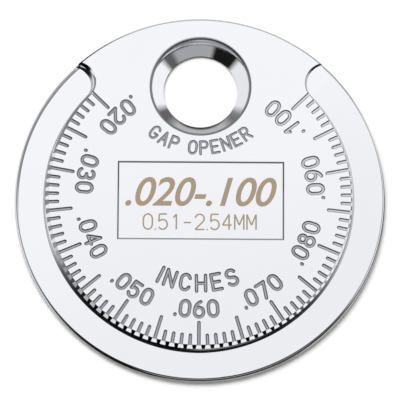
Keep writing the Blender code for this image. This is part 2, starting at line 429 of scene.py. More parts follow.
def notch_cutter(step, skipped, back):
    """The notches that carry the graduations down the chamfer: one wedge, copied to each of them.

    The wedge's floor falls and widens outward. Where the step is shallow it shrinks with the chamfer.
    """
    s = sizes()
    reach = NOTCH_LEAD + s.step_chamfer + s.step_ledge * NOTCH_ONTO_LEDGE
    fall = s.step_chamfer + LEDGE_DROP * NOTCH_UNDER_CHAMFER
    middle = (HUB_RADIUS - NOTCH_LEAD + reach / 2, 0.0, THICKNESS - fall + CUT_MARGIN / 2)
    wedge = box_cutter("notch_cutter", (reach, s.notch_width, CUT_MARGIN), middle)
    pick("FACE", lambda face: face.normal.x < -0.5)
    scale_picked(1.0, NOTCH_START_WIDTH, 1.0)
    pick("VERT", lambda vertex: vertex.co.x < HUB_RADIUS and vertex.co.z < THICKNESS)
    bpy.ops.transform.translate(value=(0.0, 0.0, fall - s.graduation_depth * NOTCH_START_DEPTH))
    object_mode()
    copies = []
    for number in graduations(step)[skipped:-1]:
        angle = read_angle(number * step, back)
        outward = Vector((math.cos(angle), math.sin(angle)))
        centre = Vector(MARKS_CENTRE)
        aside = centre - outward * outward.dot(centre)
        share = step_share(MID_PLANE - number * step / 2)
        choose(wedge)
        bpy.ops.object.duplicate()
        edit_mode()
        scale_picked(share, 1.0, share, (HUB_RADIUS, 0.0, THICKNESS))
        bpy.ops.transform.rotate(value=-angle, orient_axis="Z", center_override=(0.0, 0.0, 0.0))
        bpy.ops.transform.translate(value=(*aside, 0.0))
        object_mode()
        copies.append(bpy.context.object)
    bpy.data.objects.remove(wedge)
    choose(*copies)
    bpy.ops.object.join()
    cutter = bpy.context.object
    edit_mode()
    if back:
        scale_picked(1.0, 1.0, -1.0, (0.0, 0.0, MID_PLANE))
    bpy.ops.mesh.normals_make_consistent(inside=False)
    object_mode()
    return cutter


def turned_over(cutter):
    """A copy of a cutter, mirrored to the other face."""
    choose(cutter)
    bpy.ops.object.duplicate()
    copy = bpy.context.object
    edit_mode()
    scale_picked(1.0, 1.0, -1.0, (0.0, 0.0, MID_PLANE))
    close_up()
    return copy


def hole_cutter():
    """The gap opener hole: rounded lip, countersink, short land and a chamfer at the back."""
    turn = math.pi / 2 - COUNTERSINK_HALF_ANGLE
    lip = [(HOLE_LIP_RADIUS - x, THICKNESS - HOLE_LIP_ROUND + z)
           for x, z in arc(0.0, 0.0, HOLE_LIP_ROUND, 0.0, turn, ROUND_STEPS)]
    lip[0] = run_on(lip[1], lip[0])
    waist_top = lip[-1][1] - (lip[-1][0] - HOLE_WAIST_RADIUS) / math.tan(COUNTERSINK_HALF_ANGLE)
    land_end = (HOLE_WAIST_RADIUS, HOLE_BACK_CHAMFER)
    back = run_on(land_end, (HOLE_WAIST_RADIUS + HOLE_BACK_CHAMFER, 0.0))
    section = [(0.0, THICKNESS + CUT_MARGIN), (lip[0][0], THICKNESS + CUT_MARGIN)] + lip
    section += [(HOLE_WAIST_RADIUS, waist_top), land_end, back, (back[0], -CUT_MARGIN), (0.0, -CUT_MARGIN)]
    cutter = trace("hole_cutter", [(x, HOLE_OFFSET, z) for x, z in section])
    spin(360.0, HOLE_SIDES, (0.0, HOLE_OFFSET, 0.0))
    close_up()
    return cutter


def recess_cutter():
    """The framed recess: a box over it, drawn in at the floor so that the walls lean."""
    height = sizes().recess_depth + CUT_MARGIN
    floor = THICKNESS - sizes().recess_depth
    middle = (*RECESS_CENTRE, floor + height / 2)
    cutter = box_cutter("recess_cutter", (RECESS_LENGTH, RECESS_WIDTH, height), middle)
    pick("FACE", lambda face: face.normal.z > 0.5)
    spread = 2 * sizes().recess_slope * height / sizes().recess_depth
    scale_picked(1 + spread / RECESS_LENGTH, 1 + spread / RECESS_WIDTH, 1.0, (*RECESS_CENTRE, 0.0))
    bpy.ops.mesh.select_all(action="SELECT")
    narrowing = 2 * sizes().recess_slope
    scale_picked(1 - narrowing / RECESS_LENGTH, 1 - narrowing / RECESS_WIDTH, 1.0, (*RECESS_CENTRE, 0.0))
    object_mode()
    return cutter


def is_level_end(face):
    """Tells whether a face is a part of the ring's level ends."""
    depth = MID_PLANE - abs(face.calc_center_median().z - MID_PLANE)
    return abs(face.normal.z) > LEVEL and depth > LEVEL_END_DEPTH


def is_ring_edge(edge):
    """Tells whether an edge is where a face of the ring meets the rim, clear of the rim's own rounds."""
    if len(edge.link_faces) != 2:
        return False
    steeper, flatter = sorted(abs(face.normal.z) for face in edge.link_faces)
    clear = MID_PLANE - 1.2 * sizes().rim_round
    inside = all(abs(vertex.co.z - MID_PLANE) < clear for vertex in edge.verts)
    on_rim = all(vertex.co.xy.length > DISC_RADIUS - NEAR_RIM for vertex in edge.verts)
    return inside and on_rim and steeper < RIM_FACE and flatter > RING_FACE


def round_ring_edge(body):
    """Makes each level end of the ring one face, and rounds the ring's two outer edges."""
    choose(body)
    edit_mode()
    pick("FACE", is_level_end)
    bpy.ops.mesh.dissolve_faces()
    pick("EDGE", is_ring_edge)
    bpy.ops.mesh.bevel(offset=sizes().ring_round, segments=RING_EDGE_STEPS)
    object_mode()


def chamfer_depth(place):
    """Depth of the chamfer's foot under the hub's face, at a place."""
    return sizes().step_chamfer * step_share(MID_PLANE - gap_at(along_ramp(place)) / 2)


def at_chamfer_foot(place):
    """Tells whether a place lies where the step's chamfer meets its ledge."""
    depth = min(place.z, THICKNESS - place.z)
    return abs(depth - chamfer_depth(place)) < 20 * WELD and HUB_RADIUS < place.xy.length < DISC_RADIUS


def is_notch_floor(face):
    """Tells whether a face is the floor of a notch, between the hub's face and the ledge."""
    place = face.calc_center_median()
    flattest, steepest = max(NOTCH_FLOOR), min(NOTCH_FLOOR)
    on_ramp = SLOT_END_INSET < along_ramp(place) < RAMP_SWEEP - SLOT_END_INSET
    on_step = NOTCH_SPAN[0] < place.xy.length - HUB_RADIUS < NOTCH_SPAN[1]
    above = min(place.z, THICKNESS - place.z) < chamfer_depth(place)
    return on_ramp and on_step and above and steepest < abs(face.normal.z) < flattest


# Engraving: characters drawn as a cutter's path, in a cell one wide and one high

def bow(centre_x, centre_y, radius_x, radius_y, start, end):
    """Path along part of an oval, between angles in degrees."""
    steps = max(2, round(abs(end - start) / 15))
    angles = [math.radians(start + (end - start) * i / steps) for i in range(steps + 1)]
    return [(centre_x + radius_x * math.cos(angle), centre_y + radius_y * math.sin(angle))
            for angle in angles]


OVAL = bow(0.5, 0.64, 0.5, 0.36, 0, 180) + bow(0.5, 0.36, 0.5, 0.36, 180, 360)
BOWL = [(0.0, 1.0), (0.5, 1.0)] + bow(0.55, 0.74, 0.42, 0.26, 80, -80) + [(0.5, 0.48), (0.0, 0.48)]
LEFT_STEM = [(0.0, 0.0), (0.0, 1.0)]
RIGHT_STEM = [(1.0, 0.0), (1.0, 1.0)]

# Each character is a list of passes of the cutter; passes that touch are cut one after the other
STROKES = {
    ".": [[(0.5, 0.0), (0.5, 0.04)]],
    "-": [[(0.1, 0.45), (0.9, 0.45)]],
    "0": [OVAL],
    "1": [[(0.62, 0.0), (0.62, 1.0)], [(0.62, 1.0), (0.3, 0.76)]],
    "2": [bow(0.5, 0.7, 0.5, 0.3, 170, -25) + [(0.0, 0.0)], [(0.0, 0.0), (1.0, 0.0)]],
    "3": [bow(0.48, 0.755, 0.44, 0.245, 155, -90), bow(0.48, 0.265, 0.52, 0.265, 90, -155)],
    "4": [[(0.72, 1.0), (0.0, 0.3)], [(0.0, 0.3), (1.0, 0.3)], [(0.72, 1.0), (0.72, 0.0)]],
    "5": [[(0.1, 1.0), (0.92, 1.0)], [(0.1, 1.0), (0.04, 0.52)],
          [(0.04, 0.52)] + bow(0.47, 0.32, 0.5, 0.32, 125, -150)],
    "6": [bow(0.5, 0.31, 0.5, 0.31, 0, 360), bow(0.9, 0.34, 0.9, 0.66, 104, 170)],
    "7": [[(0.0, 1.0), (1.0, 1.0)], [(1.0, 1.0), (0.32, 0.0)]],
    "8": [bow(0.5, 0.765, 0.42, 0.235, 0, 360), bow(0.5, 0.27, 0.5, 0.27, 0, 360)],
    "9": [bow(0.5, 0.69, 0.5, 0.31, 0, 360), bow(0.1, 0.66, 0.9, 0.66, -76, -10)],
    "A": [[(0.0, 0.0), (0.5, 1.0)], [(0.5, 1.0), (1.0, 0.0)], [(0.2, 0.34), (0.8, 0.34)]],
    "C": [bow(0.5, 0.64, 0.5, 0.36, 25, 180) + bow(0.5, 0.36, 0.5, 0.36, 180, 335)],
    "E": [LEFT_STEM, [(0.0, 1.0), (0.95, 1.0)], [(0.0, 0.5), (0.8, 0.5)], [(0.0, 0.0), (0.95, 0.0)]],
    "G": [bow(0.5, 0.64, 0.5, 0.36, 30, 180) + bow(0.5, 0.36, 0.5, 0.36, 180, 355),
          [(1.0, 0.42), (0.55, 0.42)]],
    "H": [LEFT_STEM, RIGHT_STEM, [(0.0, 0.5), (1.0, 0.5)]],
    "I": [[(0.5, 0.0), (0.5, 1.0)]],
    "M": [LEFT_STEM, RIGHT_STEM, [(0.0, 1.0), (0.5, 0.3)], [(0.5, 0.3), (1.0, 1.0)]],
    "N": [LEFT_STEM, RIGHT_STEM, [(0.0, 1.0), (1.0, 0.0)]],
    "O": [OVAL],
    "P": [LEFT_STEM, BOWL],
    "R": [LEFT_STEM, BOWL, [(0.5, 0.48), (1.0, 0.0)]],
    "S": [bow(0.5, 0.755, 0.46, 0.245, 20, 270) + bow(0.5, 0.255, 0.5, 0.255, 90, -160)[1:]],
}
# Which passes of a character close on themselves, and in which set each is cut, where not in order
CLOSED = {"0": (0,), "O": (0,), "6": (0,), "8": (0, 1), "9": (0,)}
PASSES = {"E": (0, 1, 1, 1), "H": (0, 0, 1), "M": (0, 0, 1, 2), "N": (0, 0, 1)}

# Width of a cell, and the room of narrow characters in full ones
CELL_WIDTH = 0.58
ADVANCE = {"I": 0.34, " ": 0.72, ".": 0.24}

# The cutter's round nose at a stroke's end, and how much deeper each set of passes goes than the one before
NOSE_TURN = math.radians(87.0)
NOSE_STEPS = 3
PASS_DEEPER = 0.02

# Steps of the front's and the back's scale, and where the numerals stand
FRONT_STEP = 0.001 * INCH
BACK_STEP = 0.05 * MM
MARKS_CENTRE = (0.0, 0.06 * MM)
NUMERAL_RADIUS = 11.87 * MM
NUMERAL_PITCH = math.radians(6.9)

# The front's words: first letter's angle, pitch, the arc's radius and its centre
UNIT_WORD = ("INCHES", math.radians(244.4), math.radians(10.0), 9.17 * MM, MARKS_CENTRE)
HOLE_WORDS = ("GAP OPENER", math.radians(232.3), math.radians(8.52), 7.7 * MM, (0.06 * MM, 12.8 * MM))

# The marks in the recess, half sunk in its floor
THIN_MARK_WIDTH = 0.16 * MM
THIN_DOT = [(0.42, 0.0), (0.58, 0.0)]
MARK_STAND = 0.012 * MM

# Where the plate's look changes under its faces: at their edge, at a mark's bottom and near the middle plane
UNDER_FACE = (0.004 * MM, 0.02 * MM)
MARK_BOTTOM = (0.06 * MM, 0.1 * MM)
NEAR_MIDDLE = (0.0, 0.1 * MM)

# Shades, as shares of the chrome's colour: a random cloudy tone, then painted shade in the marks' bottoms at
# the left and right, on the marks' walls, on the recess's walls below and above, along the rim and on the lip
CLOUD_SHADE = 0.97
PAINTED_BOTTOM_SHADES = (0.52, 0.85)
PAINTED_EDGE_SHADE = 0.35
PAINTED_WALL_SHADES = (0.6, 0.38)
PAINTED_RIM_SHADE = 0.22
PAINTED_LIP_SHADE = 0.45

# The photograph's camera, lamp and floor
IMAGE_SIZE = 400
DISC_IN_IMAGE = (199.85, 196.1)
CAMERA_TILT = math.radians(13.0)
CAMERA_ROLL = math.radians(0.35)
CAMERA_DISTANCE = 0.4096
LAMP_PLACE = (-0.045, 0.03, 0.60)
LAMP_SIZE = 0.18
LAMP_POWER = 2.7
FLOOR_LIFT = 1.1
AMBIENT = 0.33

# The studio that the plate mirrors. Heights are sines of the angle up; walls are (degrees round, brightness)
LOW_WALLS_TOP = (-0.24, -0.18)
EDGE_WALLS_TOP = (-0.10, -0.06)
UPPER_WALLS_TOP = (0.18, 0.28)
CEILING_EDGE = (0.60, 0.78)
DARK_RING = (0.71, 0.77, 0.95, 0.98)
LOW_WALLS = (
    (0.0, 1.0), (38.0, 1.0), (48.0, 0.14), (58.0, 0.14), (70.0, 0.50), (110.0, 0.50), (122.0, 0.18),
    (130.0, 0.25), (140.0, 0.88), (200.0, 0.88), (210.0, 0.01), (244.0, 0.01), (252.0, 0.40),
    (312.0, 0.40), (322.0, 0.12), (332.0, 0.12), (342.0, 1.0), (360.0, 1.0),
)
EDGE_WALLS = (
    (0.0, 0.9), (15.0, 0.45), (55.0, 0.45), (75.0, 0.9), (110.0, 0.9), (120.0, 0.04), (138.0, 0.04),
    (150.0, 0.9), (190.0, 0.9), (205.0, 0.35), (222.0, 0.08), (236.0, 0.02), (314.0, 0.02), (340.0, 0.6),
    (352.0, 0.9), (360.0, 0.9),
)
UPPER_WALLS = (
    (0.0, 0.9), (184.0, 0.9), (196.0, 0.2), (206.0, 0.04), (306.0, 0.04), (326.0, 0.25), (341.0, 0.6),
    (352.0, 0.9), (360.0, 0.9),
)


def passes_of(letter):
    """The passes of a character, each as its points and whether it closes on itself."""
    closed = CLOSED.get(letter, ())
    return [(path[:-1], True) if i in closed else (path, False) for i, path in enumerate(STROKES[letter])]


def round_curve(name, radius, resolution):
    """An empty curve of round section with closed ends."""
    curve = bpy.data.curves.new(name, "CURVE")
    curve.dimensions = "3D"
    curve.bevel_depth = radius
    curve.bevel_resolution = resolution
    curve.use_fill_caps = True
    return curve


def draw_pass(curve, points, radii, closed):
    """Draws one pass along points into a curve."""
    spline = curve.splines.new("POLY")
    spline.points.add(len(points) - 1)
    spline.use_cyclic_u = closed
    for point, place, radius in zip(spline.points, points, radii):
        point.co = (*place, 1.0)
        point.radius = radius


def as_mesh(curve):
    """Turns a curve into a mesh object, in edit mode with all of it selected."""
    drawn = bpy.data.objects.new(curve.name, curve)
    bpy.context.scene.collection.objects.link(drawn)
    choose(drawn)
    bpy.ops.object.convert(target="MESH")
    edit_mode()
    return bpy.context.object


class Engraving:
    """Passes of a round-nosed cutter over both faces, gathered in sets within which nothing touches."""

    def __init__(self):
        """Starts with no passes."""
        self.sets = [[], [], []]

    def stroke(self, order, path, width, depth, closed=False, back=False):
        """Adds one pass along a path of (x, y) points, as a face is read."""
        depth = depth * (1.0 + PASS_DEEPER * order)
        radius = (width * width / 4 + depth * depth) / (2 * depth)
        side = -1.0 if back else 1.0
        height = MID_PLANE + side * (MID_PLANE + radius - depth)
        points = [Vector((side * x, y, height)) for x, y in path]
        radii = [radius] * len(points)
        if not closed:
            points, radii = self.rounded_ends(points, radius)
        self.sets[order].append((points, radii, closed))

    @staticmethod
    def rounded_ends(points, radius):
        """Carries a path past both its ends, where the cutter's round nose narrows to nothing."""
        turns = [NOSE_TURN * i / NOSE_STEPS for i in range(1, NOSE_STEPS + 1)]
        before = (points[0] - points[1]).normalized()
        after = (points[-1] - points[-2]).normalized()
        start = [points[0] + before * radius * math.sin(turn) for turn in reversed(turns)]
        end = [points[-1] + after * radius * math.sin(turn) for turn in turns]
        narrow = [radius * math.cos(turn) for turn in turns]
        return start + points + end, narrow[::-1] + [radius] * len(points) + narrow

    def character(self, letter, place, upright, height, width, depth, back=False):
        """Adds one character, its cell centred on a place and turned so that its top points along upright."""
        up = Vector(upright).normalized()
        right = Vector((up.y, -up.x))
        cell = height * CELL_WIDTH
        for order, (path, closed) in zip(PASSES.get(letter, (0, 1, 2)), passes_of(letter)):
            drawn = []
            for x, y in path:
                point = Vector(place) + right * (x - 0.5) * cell + up * (y - 0.5) * height
                if not drawn or (point - Vector(drawn[-1])).length > WELD:
                    drawn.append(tuple(point))
            self.stroke(order, drawn, width, depth, closed, back)

    def cutter(self, order):
        """All passes of one set, as one closed mesh."""
        curve = round_curve("engraving_cutter", 1.0, 3)
        for drawn in self.sets[order]:
            draw_pass(curve, *drawn)
        cutter = as_mesh(curve)
        close_up()
        return cutter


def around(angle, radius, centre=(0.0, 0.0)):
    """Place at an angle and radius about a centre, and the way from it to that centre."""
    outward = Vector((math.cos(angle), math.sin(angle)))
    return Vector(centre) + outward * radius, -outward


def read_angle(gap, back):
    """Angle at which a scale reads a gap."""
    angle = SCALE_START + (gap - GAP_MIN) / (GAP_MAX - GAP_MIN) * SCALE_SWEEP
    return math.pi - angle if back else angle


def graduations(step):
    """The whole numbers of steps that lie within the gauge's range."""
    return range(math.ceil(round(GAP_MIN / step, 3)), math.floor(round(GAP_MAX / step, 3)) + 1)


def engrave_scale(marks, step, long_every, back):
    """The graduations of one face, each where the ring has its thickness."""
    s = sizes()
    for number in graduations(step):
        run = s.short_graduation if number % long_every else s.long_graduation
        angle = read_angle(number * step, back)
        path = [around(angle, reach, MARKS_CENTRE)[0]
                for reach in (HUB_RADIUS - run + s.graduation_width / 2, SLOT_CENTRE_RADIUS)]
        marks.stroke(0, path, s.graduation_width, s.graduation_depth, back=back)


def engrave_numeral(marks, text, gap, back):
    """A numeral under its graduation, its tops towards the middle and its digits centred on the mark."""
    s = sizes()
    offsets = advances(text)
    digits = [offset for character, offset in zip(text, offsets) if character != "."]
    start = read_angle(gap, back) - NUMERAL_PITCH * (digits[0] + digits[-1]) / 2
    engrave_word(marks, text, start, NUMERAL_PITCH, NUMERAL_RADIUS, MARKS_CENTRE,
                 s.numeral_height, s.graduation_width, s.graduation_depth, back)


def advances(text):
    """How far along each character of a text stands, in full characters; narrow ones take less room."""
    offsets = [0.0]
    for before, after in zip(text, text[1:]):
        offsets.append(offsets[-1] + (ADVANCE.get(before, 1.0) + ADVANCE.get(after, 1.0)) / 2)
    return offsets


def engrave_word(marks, word, start, pitch, radius, centre, height, width, depth, back=False):
    """A word along an arc, its tops towards the arc's centre."""
    for letter, offset in zip(word, advances(word)):
        if letter != " ":
            place, inward = around(start + pitch * offset, radius, centre)
            marks.character(letter, place, inward, height, width, depth, back)


def thin_line(text, height, pitch, middle, floor):
    """A line of thin marks, drawn with the characters' strokes and half sunk in the recess's floor."""
    offsets = advances(text)
    curve = round_curve("thin_marks", THIN_MARK_WIDTH / 2, 2)
    for letter, offset in zip(text, offsets):
        along = pitch * (offset - offsets[-1] / 2)
        for points, closed in passes_of(letter):
            if letter == ".":
                points = THIN_DOT
            drawn = [(along + (x - 0.5) * height * CELL_WIDTH, middle + (y - 0.5) * height, floor)
                     for x, y in points]
            draw_pass(curve, drawn, [1.0] * len(drawn), closed)
    line = as_mesh(curve)
    scale_picked(1.0, 1.0, MARK_STAND / (THIN_MARK_WIDTH / 2), (0.0, 0.0, floor))
    object_mode()
    return line


class Value:
    """A shader value: reckoning with it adds Math nodes."""

    def __init__(self, tree, source):
        """Wraps an output socket of a tree."""
        self.tree = tree
        self.source = source

    def math(self, operation, *others):
        """Adds one Math node on this value and others."""
        return self.tree.reckon(operation, self, *others)

    def __add__(self, other):
        return self.math("ADD", other)

    __radd__ = __add__

    def __sub__(self, other):
        return self.math("SUBTRACT", other)

    def __rsub__(self, other):
        return self.tree.reckon("SUBTRACT", other, self)

    def __mul__(self, other):
        return self.math("MULTIPLY", other)

    __rmul__ = __mul__

    def __truediv__(self, other):
        return self.math("DIVIDE", other)

    def __pow__(self, other):
        return self.math("POWER", other)

    def rise(self, start, end):
        """Climbs smoothly from 0 at start to 1 at end."""
        return self.tree.value("ShaderNodeMapRange", {"interpolation_type": "SMOOTHSTEP"},
                               {0: self, 1: start, 2: end, 3: 0.0, 4: 1.0})

    def band(self, start, full, fading, end):
        """Climbs smoothly to 1 from start to full, and back to 0 from fading to end."""
        return self.rise(start, full) * (1.0 - self.rise(fading, end))


class Tree:
    """A node tree being laid out for a material or the world."""

    def __init__(self, holder):
        """Clears the holder's tree."""
        self.holder = holder
        holder.use_nodes = True
        self.nodes = holder.node_tree.nodes
        self.links = holder.node_tree.links
        self.nodes.clear()

    def node(self, kind, settings=None, sockets=None):
        """Adds a node: its settings first, then the values or links of its sockets."""
        made = self.nodes.new(kind)
        for name, value in (settings or {}).items():
            setattr(made, name, value)
        for key, value in (sockets or {}).items():
            if isinstance(value, Value):
                self.links.new(value.source, made.inputs[key])
            else:
                made.inputs[key].default_value = value
        return made

    def value(self, kind, settings=None, sockets=None, output=0):
        """Adds a node and takes one of its outputs."""
        return Value(self, self.node(kind, settings, sockets).outputs[output])

    def reckon(self, operation, *values):
        """Adds a Math node on values or numbers."""
        return self.value("ShaderNodeMath", {"operation": operation}, dict(enumerate(values)))

    def mix_colour(self, factor, first, second):
        """Mixes two colours."""
        return self.value("ShaderNodeMix", {"data_type": "RGBA"}, {0: factor, 6: first, 7: second}, 2)

    def parts(self, vector):
        """The three numbers of a vector."""
        split = self.node("ShaderNodeSeparateXYZ", None, {0: vector})
        return [Value(self, output) for output in split.outputs]

    def noise(self, scale, detail, place):
        """Fine-grained noise between 0 and 1, of a scale in waves per metre."""
        return self.value("ShaderNodeTexNoise", None, {"Vector": place, "Scale": scale, "Detail": detail})

    def finish(self, kind, sockets):
        """Adds the shader, links it to the output and gives back the tree's holder."""
        output = "World" if isinstance(self.holder, bpy.types.World) else "Material"
        surface = self.nodes.new("ShaderNodeOutput" + output).inputs["Surface"]
        self.links.new(self.node(kind, None, sockets).outputs[0], surface)
        return self.holder

    def grained(self, colour, metallic, roughness, grain, relief):
        """Finishes a material with a fine relief of its grain."""
        bump = self.value("ShaderNodeBump", None, {
            "Strength": relief, "Distance": 0.01 * MM, "Height": grain})
        return self.finish("ShaderNodeBsdfPrincipled", {
            "Base Color": colour, "Metallic": metallic, "Roughness": roughness, "Normal": bump})


def shade(colour, factor=1.0):
    """A colour with full alpha, darkened or lightened by a factor."""
    return (*(channel * factor for channel in colour), 1.0)


def chrome_material():
    """Bright plate: polished faces with faint wipe scratches, a satin bottom in what is cut into them, and
    painted shade.
    """
    f = finishes()
    tree = Tree(bpy.data.materials.new("chrome_plate"))
    place = tree.value("ShaderNodeTexCoord", output="Object")
    x, y, z = tree.parts(place)
    clouds = tree.noise(140.0, 3.0, place)
    grain = tree.noise(9000.0, 2.0, place)
    drawn_out = tree.value("ShaderNodeMapping", None, {
        "Vector": place, "Rotation": (0.0, 0.0, 0.5), "Scale": (40.0, 1.0, 1.0)})
    wiping = tree.noise(420.0, 2.0, drawn_out).rise(0.55, 0.75)

    # What lies lower than the two faces
    depth = (THICKNESS - z).math("MINIMUM", z)
    front_cut = (THICKNESS - z).rise(*UNDER_FACE) * (z - MID_PLANE).rise(*NEAR_MIDDLE)
    back_cut = z.rise(*UNDER_FACE) * (MID_PLANE - z).rise(*NEAR_MIDDLE)
    lowered = front_cut + back_cut

    # The hole's rounded lip, and a line along the rim on the left side, both darkened with painted shade
    radius = (x ** 2.0 + y ** 2.0) ** 0.5
    from_hole = (x ** 2.0 + (y - HOLE_OFFSET) ** 2.0) ** 0.5
    lip_inner = HOLE_LIP_RADIUS - 0.9 * HOLE_LIP_ROUND
    lip = lowered * from_hole.band(
        lip_inner - 0.03 * MM, lip_inner, HOLE_LIP_RADIUS - 0.02 * MM, HOLE_LIP_RADIUS + 0.02 * MM)
    shaded_left = (0.0 - x).rise(6.0 * MM, 12.0 * MM) * y.rise(-4.0 * MM, 3.0 * MM)
    painted_rim_shade = lowered * shaded_left * radius.band(
        DISC_RADIUS - 0.42 * MM, DISC_RADIUS - 0.36 * MM, DISC_RADIUS - 0.28 * MM, DISC_RADIUS - 0.22 * MM)

    # The recess with its walls, and the marks of the hub with dark outlines of painted shade on their
    # strokes' walls
    recess = 1.0
    for way, centre, span in zip((x, y), RECESS_CENTRE, (RECESS_LENGTH, RECESS_WIDTH)):
        off = (way - centre).math("ABSOLUTE")
        recess = recess * (1.0 - off.rise(span / 2, span / 2 + 0.02 * MM))
    recess_floor = sizes().recess_depth
    recess_wall = recess * depth.band(
        0.01 * MM, 0.03 * MM, recess_floor - 0.02 * MM, recess_floor - 0.005 * MM)
    in_hub = 1.0 - radius.rise(HUB_RADIUS, HUB_RADIUS + 0.04 * MM)
    marks = lowered * in_hub * from_hole.rise(HOLE_LIP_RADIUS, HOLE_LIP_RADIUS + 0.05 * MM) * (1.0 - recess)
    # Painted shade on the walls of the strokes, which reads as their dark outlines
    painted_edge_shade = marks * depth.band(*UNDER_FACE, *MARK_BOTTOM)
    # Painted shade in the marks' bottoms, darker towards the left and lighter towards the upper right
    bottom = marks * depth.rise(*MARK_BOTTOM)

    satin = marks.math("MAXIMUM", lip).math("MAXIMUM", recess_wall)
    roughness = f.polish + 0.03 * clouds + 0.04 * wiping + (f.satin - f.polish) * satin
    # Where the painted shade in the marks' bottoms grows lighter: towards the upper right
    lit_side = (x * 0.87 + y * 0.5).rise(5.0 * MM, 14.0 * MM)
    painted_bottom_shade = tree.mix_colour(lit_side, *(shade(f.chrome, share) for share in PAINTED_BOTTOM_SHADES))
    # Painted shade on the recess's walls, darker on the upper wall than on the lower ones
    painted_wall_shade = tree.mix_colour(y.rise(0.0, MM), *(shade(f.chrome, share) for share in PAINTED_WALL_SHADES))
    colour = tree.mix_colour(clouds, shade(f.chrome), shade(f.chrome, CLOUD_SHADE))
    # Mixes each painted shade in over the plate's colour
    for where, painted_shade in (
            (bottom, painted_bottom_shade), (painted_edge_shade, shade(f.chrome, PAINTED_EDGE_SHADE)), (recess_wall, painted_wall_shade),
            (painted_rim_shade, shade(f.chrome, PAINTED_RIM_SHADE)), (lip, shade(f.chrome, PAINTED_LIP_SHADE))):
        colour = tree.mix_colour(where, colour, painted_shade)
    return tree.grained(colour, 1.0, roughness, grain, relief=0.05)


def range_mark_material():
    """Tan marks burnt into the plate: dull, mottled between a warmer and a greyer tan."""
    f = finishes()
    tree = Tree(bpy.data.materials.new("burnt_tan_marks"))
    place = tree.value("ShaderNodeTexCoord", output="Object")
    mottle = tree.noise(2600.0, 3.0, place).rise(0.35, 0.65)
    grain = tree.noise(16000.0, 2.0, place)
    warm, grey = (
        shade(channel * share for channel, share in zip(f.range_mark, shares))
        for shares in ((1.06, 0.98, 0.92), (0.92, 1.0, 1.08)))
    colour = tree.mix_colour(mottle, warm, grey)
    return tree.grained(colour, 0.0, 0.5 + 0.2 * grain, grain, relief=0.2)


def floor_material():
    """Pale matt floor, which the camera sees a little brighter so that only the close shadow shows."""
    f = finishes()
    tree = Tree(bpy.data.materials.new("pale_floor"))
    seen = tree.value("ShaderNodeLightPath", output="Is Camera Ray")
    colour = tree.mix_colour(seen, shade(f.floor), shade(f.floor, FLOOR_LIFT))
    return tree.finish("ShaderNodeBsdfDiffuse", {"Color": colour})


def wall_ramp(tree, turned, stops):
    """Brightness of the studio's walls round the horizon, from its stops."""
    node = tree.node("ShaderNodeValToRGB", None, {0: turned})
    ramp = node.color_ramp
    while len(ramp.elements) > 1:
        ramp.elements.remove(ramp.elements[-1])
    ramp.elements[0].position = stops[0][0] / 360.0
    ramp.elements[0].color = (stops[0][1],) * 3 + (1.0,)
    for degrees, grey in stops[1:]:
        ramp.elements.new(degrees / 360.0).color = (grey, grey, grey, 1.0)
    return Value(tree, node.outputs[0])


def studio_world():
    """A white tent with softboxes at both sides, grey ends and dark gaps, and a soft light from the back.

    The walls are a ramp round the horizon, from +X counter-clockwise. The camera itself sees white.
    """
    world = bpy.data.worlds.new("studio_tent")
    bpy.context.scene.world = world
    tree = Tree(world)
    x, y, z = tree.parts(tree.value("ShaderNodeTexCoord", output="Generated"))
    turn = y.math("ARCTAN2", x) / math.tau
    turned = turn - turn.math("FLOOR")
    low, edge, upper = (wall_ramp(tree, turned, stops) for stops in (LOW_WALLS, EDGE_WALLS, UPPER_WALLS))
    upper = edge + (upper - edge) * z.rise(*EDGE_WALLS_TOP)
    wall = low + (upper - low) * z.rise(*LOW_WALLS_TOP)

    # The walls are dark behind the camera and dim above
    wall = wall * (1.0 - 0.93 * z.rise(0.0, 0.15) * (0.0 - y).rise(0.3, 0.6))
    wall = wall * (1.0 - 0.70 * z.rise(*UPPER_WALLS_TOP))

    # The ceiling starts higher on the left and is brighter at the back; deep below lies a dark ring
    ceiling = (z - 0.14 * (0.0 - x).rise(0.1, 0.5)).rise(*CEILING_EDGE)
    ceiling_light = 0.945 + 0.08 * y.rise(0.185, 0.255)
    light = wall + (ceiling_light - wall) * ceiling
    light = light * (1.0 - 0.9 * (0.0 - z).band(*DARK_RING) * (1.0 - 0.8 * (0.0 - x).rise(0.2, 0.45)))
    seen = tree.value("ShaderNodeLightPath", output="Is Camera Ray")
    mirrored = tree.value("ShaderNodeLightPath", output="Is Glossy Ray")
    strength = mirrored * light + (1.0 - mirrored) * (AMBIENT + (1.0 - AMBIENT) * seen)
    tree.finish("ShaderNodeBackground", {"Color": (1.0, 1.0, 1.0, 1.0), "Strength": strength})


def finish_piece(piece, material):
    """Gives a piece its material, its smooth shading and its body."""
    choose(piece)
    piece.data.materials.clear()
    piece.data.materials.append(material)
    bpy.ops.object.shade_smooth_by_angle(angle=SHARP_ANGLE)
    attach(piece, "root")


class GAUGE_OT_disc(bpy.types.Operator):
    """Model the plated disc with its ramp, hole and recess"""

    bl_idname = "gauge.disc"
    bl_label = "Disc"

    def execute(self, context):
        """Cuts the blank as the milled and bored disc."""
        body = blank()
        front = slot_cutter()
        back = turned_over(front)
        cut(body, front)
        cut(body, back)
        round_ring_edge(body)
        cut(body, hole_cutter())
        cut(body, recess_cutter())
        return {"FINISHED"}


